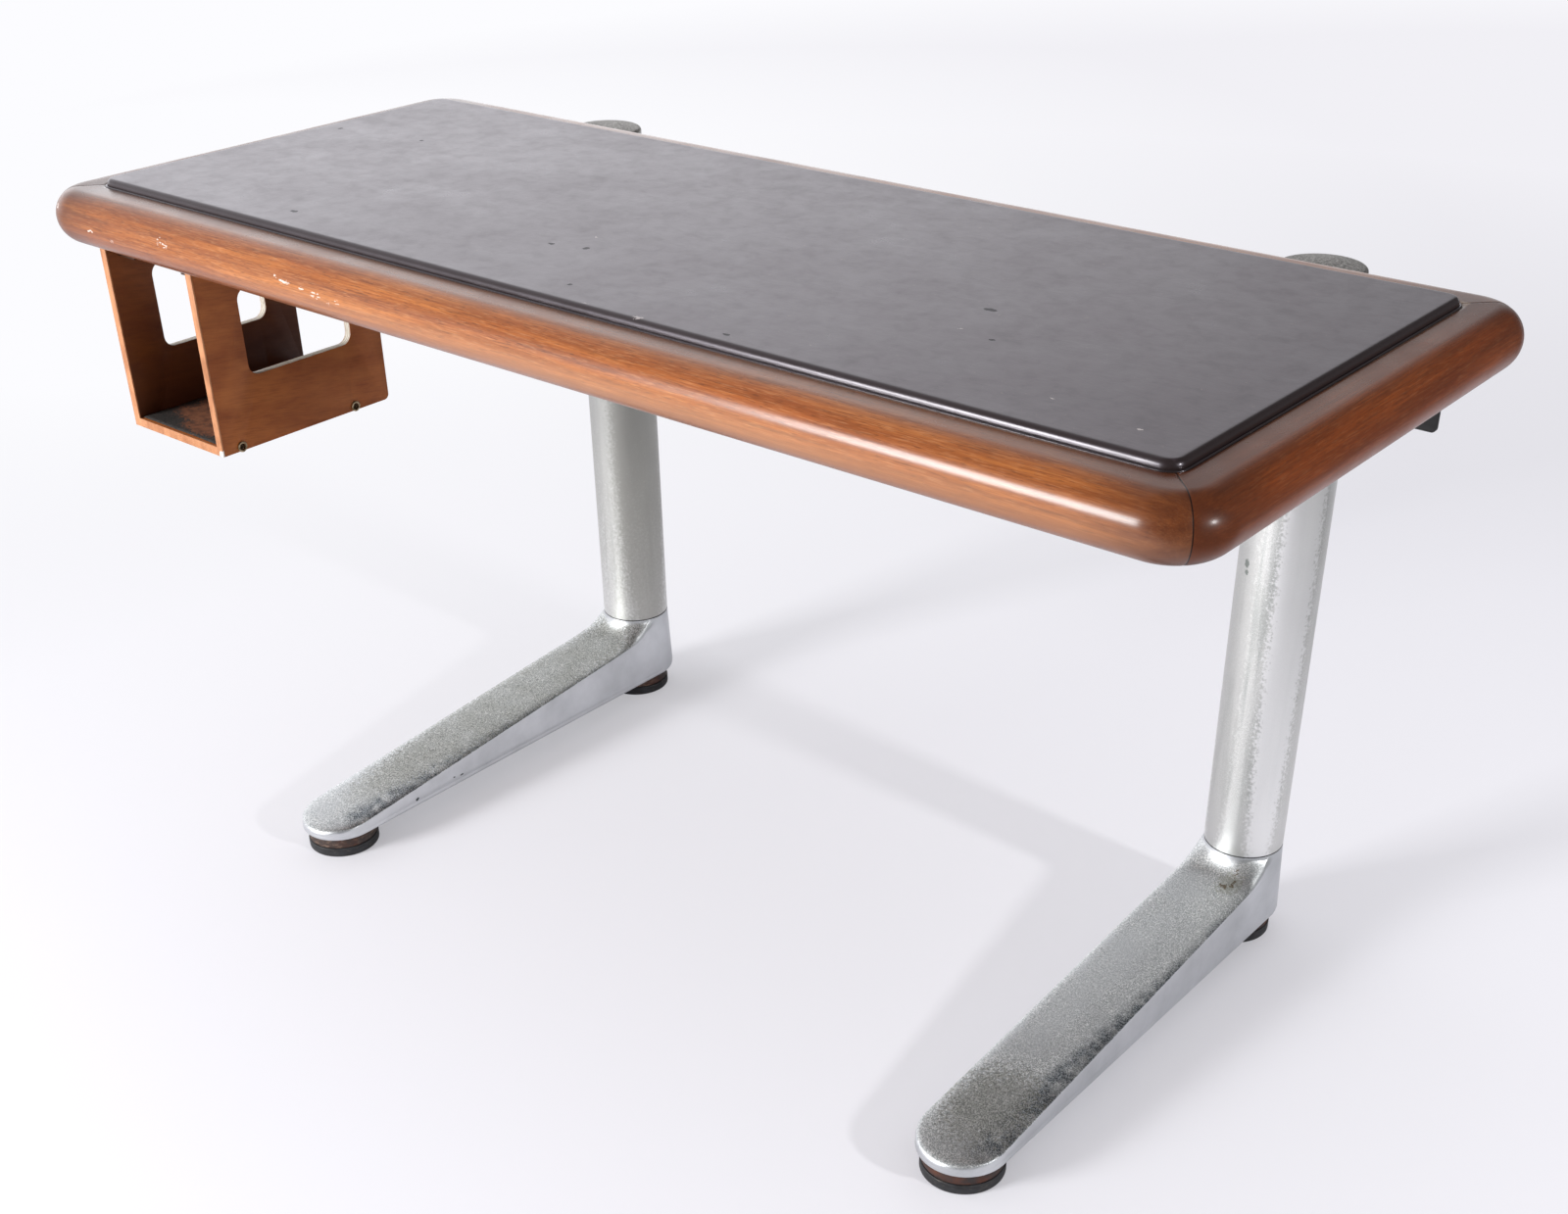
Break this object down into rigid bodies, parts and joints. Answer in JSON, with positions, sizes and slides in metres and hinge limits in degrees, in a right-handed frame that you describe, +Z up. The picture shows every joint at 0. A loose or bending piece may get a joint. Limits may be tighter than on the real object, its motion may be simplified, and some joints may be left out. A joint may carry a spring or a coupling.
{
  "type": "office desk",
  "caption": "Office desk with a leather-topped board in a bullnosed wood frame, on two metal columns with long cast feet and levelling glides, and a plywood paper rack under the left end.",
  "frame": {"origin": "on the floor under the middle of the whole outline", "axes": "+X along the desk to the sitter's right, +Y from the sitter to the rear, +Z up"},
  "size_m": [1.322, 0.6348, 0.736],
  "materials": {
    "leather": "dark brown, worn satin",
    "wood_front": "oiled orange-brown hardwood, satin",
    "wood_end": "oiled red-brown hardwood, satin",
    "board": "plain plywood and softwood",
    "underside": "veneered, matt",
    "column": "worn satin nickel",
    "cap": "dull, pitted",
    "foot": "cast, plated, worn and pitted",
    "black_steel": "black, semi-matt",
    "fastener": "zinc plated",
    "plywood": "orange-brown plywood",
    "lipping": "pale solid lipping",
    "lining": "dark, worn",
    "brass": "dull",
    "sole": "black, scuffed",
    "disc": "reddish brown, matt"
  },
  "bodies": {
    "desk": {"leather_skin": "leather", "edge_welt": "leather", "front_rail": "wood_front", "rear_rail": "wood_front", "left_rail": "wood_end", "right_rail": "wood_end", "pad_board": "board", "top_core": "board", "mitre_splines": "board", "rack_cleats": "board", "underside_panel": "underside", "left_column": "column", "right_column": "column", "left_column_cap": "cap", "right_column_cap": "cap", "left_foot": "foot", "right_foot": "foot", "left_arm": "black_steel", "right_arm": "black_steel", "center_stretcher": "black_steel", "left_outrigger": "black_steel", "right_outrigger": "black_steel", "left_tie_rod": "fastener", "right_tie_rod": "fastener", "tie_rod_washers": "fastener", "tie_rod_nuts": "fastener", "arm_screws": "fastener", "stretcher_screws": "fastener", "glide_inserts": "fastener", "rack_left_side": "plywood", "rack_right_side": "plywood", "rack_bottom": "plywood", "rack_lipping": "lipping", "rack_lining": "lining", "rack_hanging_screws": "brass", "rack_side_screws": "brass", "rack_floor_screws": "brass", "rack_screw_cups": "brass"},
    "front_left_glide": {"front_left_sole": "sole", "front_left_disc": "disc", "front_left_stud": "fastener"},
    "front_right_glide": {"front_right_sole": "sole", "front_right_disc": "disc", "front_right_stud": "fastener"},
    "rear_left_glide": {"rear_left_sole": "sole", "rear_left_disc": "disc", "rear_left_stud": "fastener"},
    "rear_right_glide": {"rear_right_sole": "sole", "rear_right_disc": "disc", "rear_right_stud": "fastener"}
  },
  "joints": [
    {"name": "front_left_levelling", "type": "slide", "parent": "desk", "child": "front_left_glide", "axis": [0, 0, -1], "range_m": [0, 0.006]},
    {"name": "front_right_levelling", "type": "slide", "parent": "desk", "child": "front_right_glide", "axis": [0, 0, -1], "range_m": [0, 0.006]},
    {"name": "rear_left_levelling", "type": "slide", "parent": "desk", "child": "rear_left_glide", "axis": [0, 0, -1], "range_m": [0, 0.006]},
    {"name": "rear_right_levelling", "type": "slide", "parent": "desk", "child": "rear_right_glide", "axis": [0, 0, -1], "range_m": [0, 0.006]}
  ]
}
